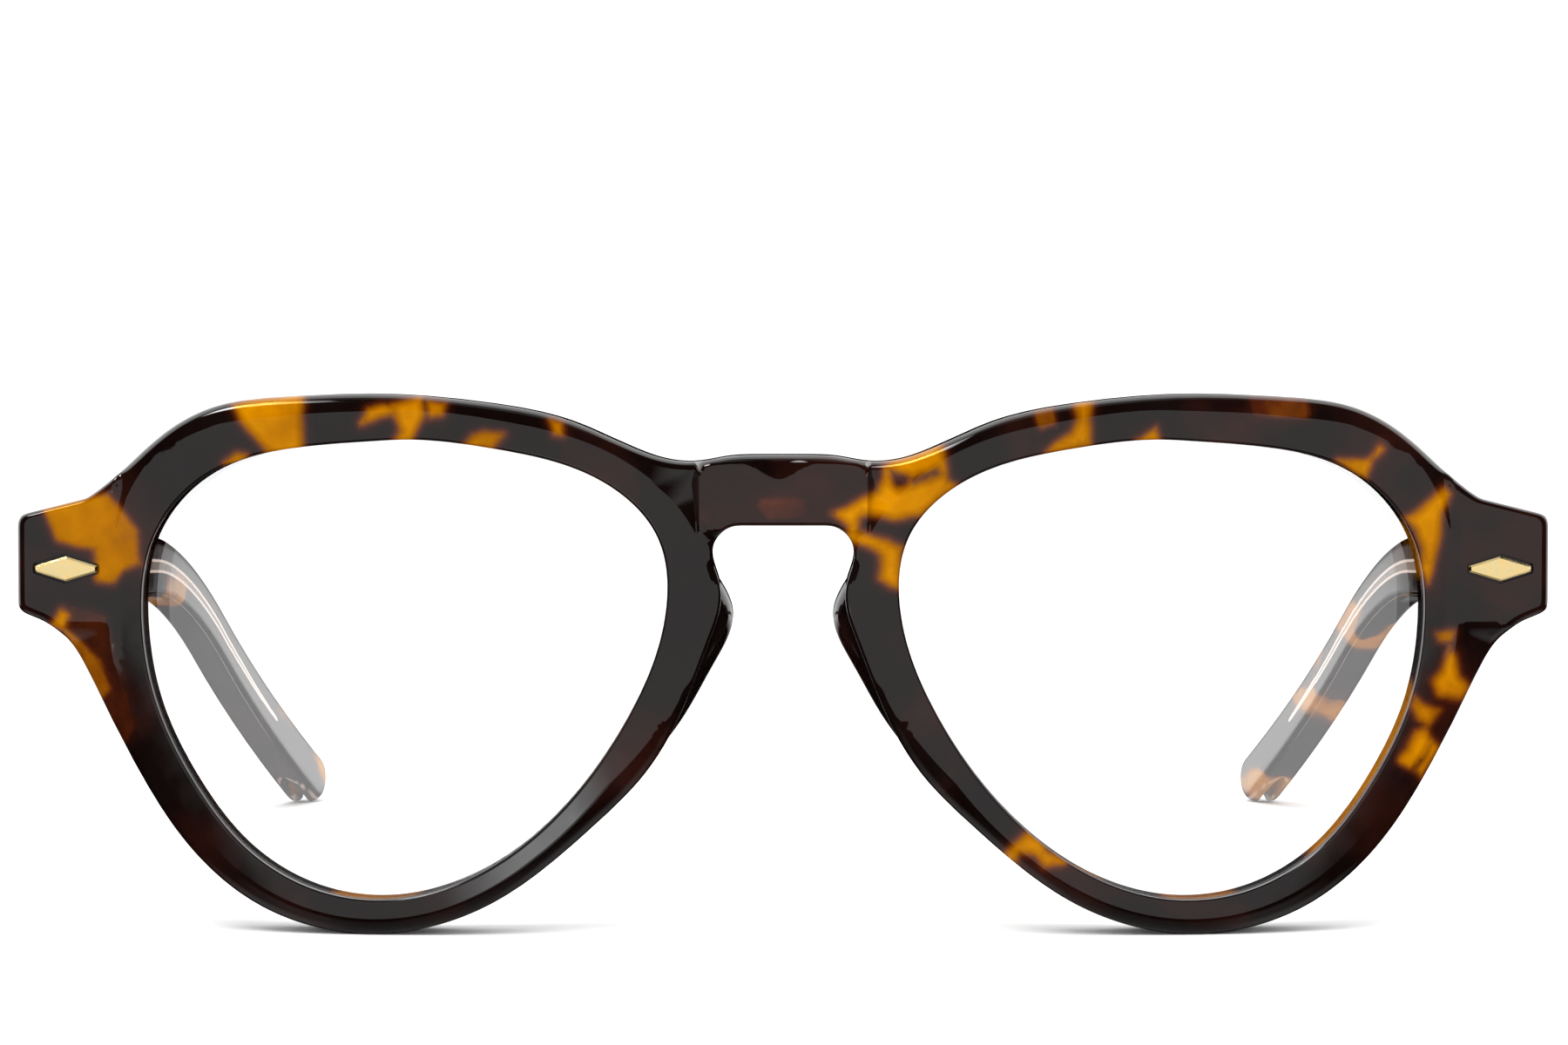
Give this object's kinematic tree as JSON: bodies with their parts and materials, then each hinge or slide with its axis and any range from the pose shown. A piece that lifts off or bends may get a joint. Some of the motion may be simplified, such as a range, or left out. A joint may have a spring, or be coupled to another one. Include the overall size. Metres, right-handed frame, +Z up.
{
  "type": "eyeglasses",
  "caption": "Acetate eyeglasses with a keyhole bridge, rounded lenses, hinged folding temples and small metal plaques on the end pieces.",
  "frame": {"origin": "on the resting surface, under the middle of the whole object's box, with the temples open", "axes": "+X towards the wearer's left, +Y back along the temples, +Z up; the lenses look along -Y"},
  "size_m": [0.148, 0.139, 0.0519],
  "materials": {
    "tortoise_acetate": "polished tortoiseshell acetate, dark brown with amber patches",
    "pad_acetate": "polished dark acetate",
    "lens": "clear demo lens, polished",
    "gold": "polished gold plate",
    "hinge_steel": "plain satin metal",
    "screw_steel": "turned metal",
    "core_steel": "bright drawn wire"
  },
  "bodies": {
    "front": {"front_frame": "tortoise_acetate", "left_lens": "lens", "left_nose_pad": "pad_acetate", "left_front_plaque": "gold", "left_front_hinge_leaf": "hinge_steel", "left_hinge_screw": "screw_steel", "right_lens": "lens", "right_nose_pad": "pad_acetate", "right_front_plaque": "gold", "right_front_hinge_leaf": "hinge_steel", "right_hinge_screw": "screw_steel"},
    "left_temple_arm": {"left_temple": "tortoise_acetate", "left_temple_hinge_leaf": "hinge_steel", "left_temple_rivets": "hinge_steel", "left_core_wire": "core_steel"},
    "right_temple_arm": {"right_temple": "tortoise_acetate", "right_temple_hinge_leaf": "hinge_steel", "right_temple_rivets": "hinge_steel", "right_core_wire": "core_steel"}
  },
  "joints": [
    {"name": "left_temple_fold", "type": "hinge", "parent": "front", "child": "left_temple_arm", "pos_m": [0.067, -0.0545, 0.035], "axis": [0, 0, 1], "range_deg": [0, 85]},
    {"name": "right_temple_fold", "type": "hinge", "parent": "front", "child": "right_temple_arm", "pos_m": [-0.067, -0.0545, 0.035], "axis": [0, 0, -1], "range_deg": [0, 80]}
  ]
}
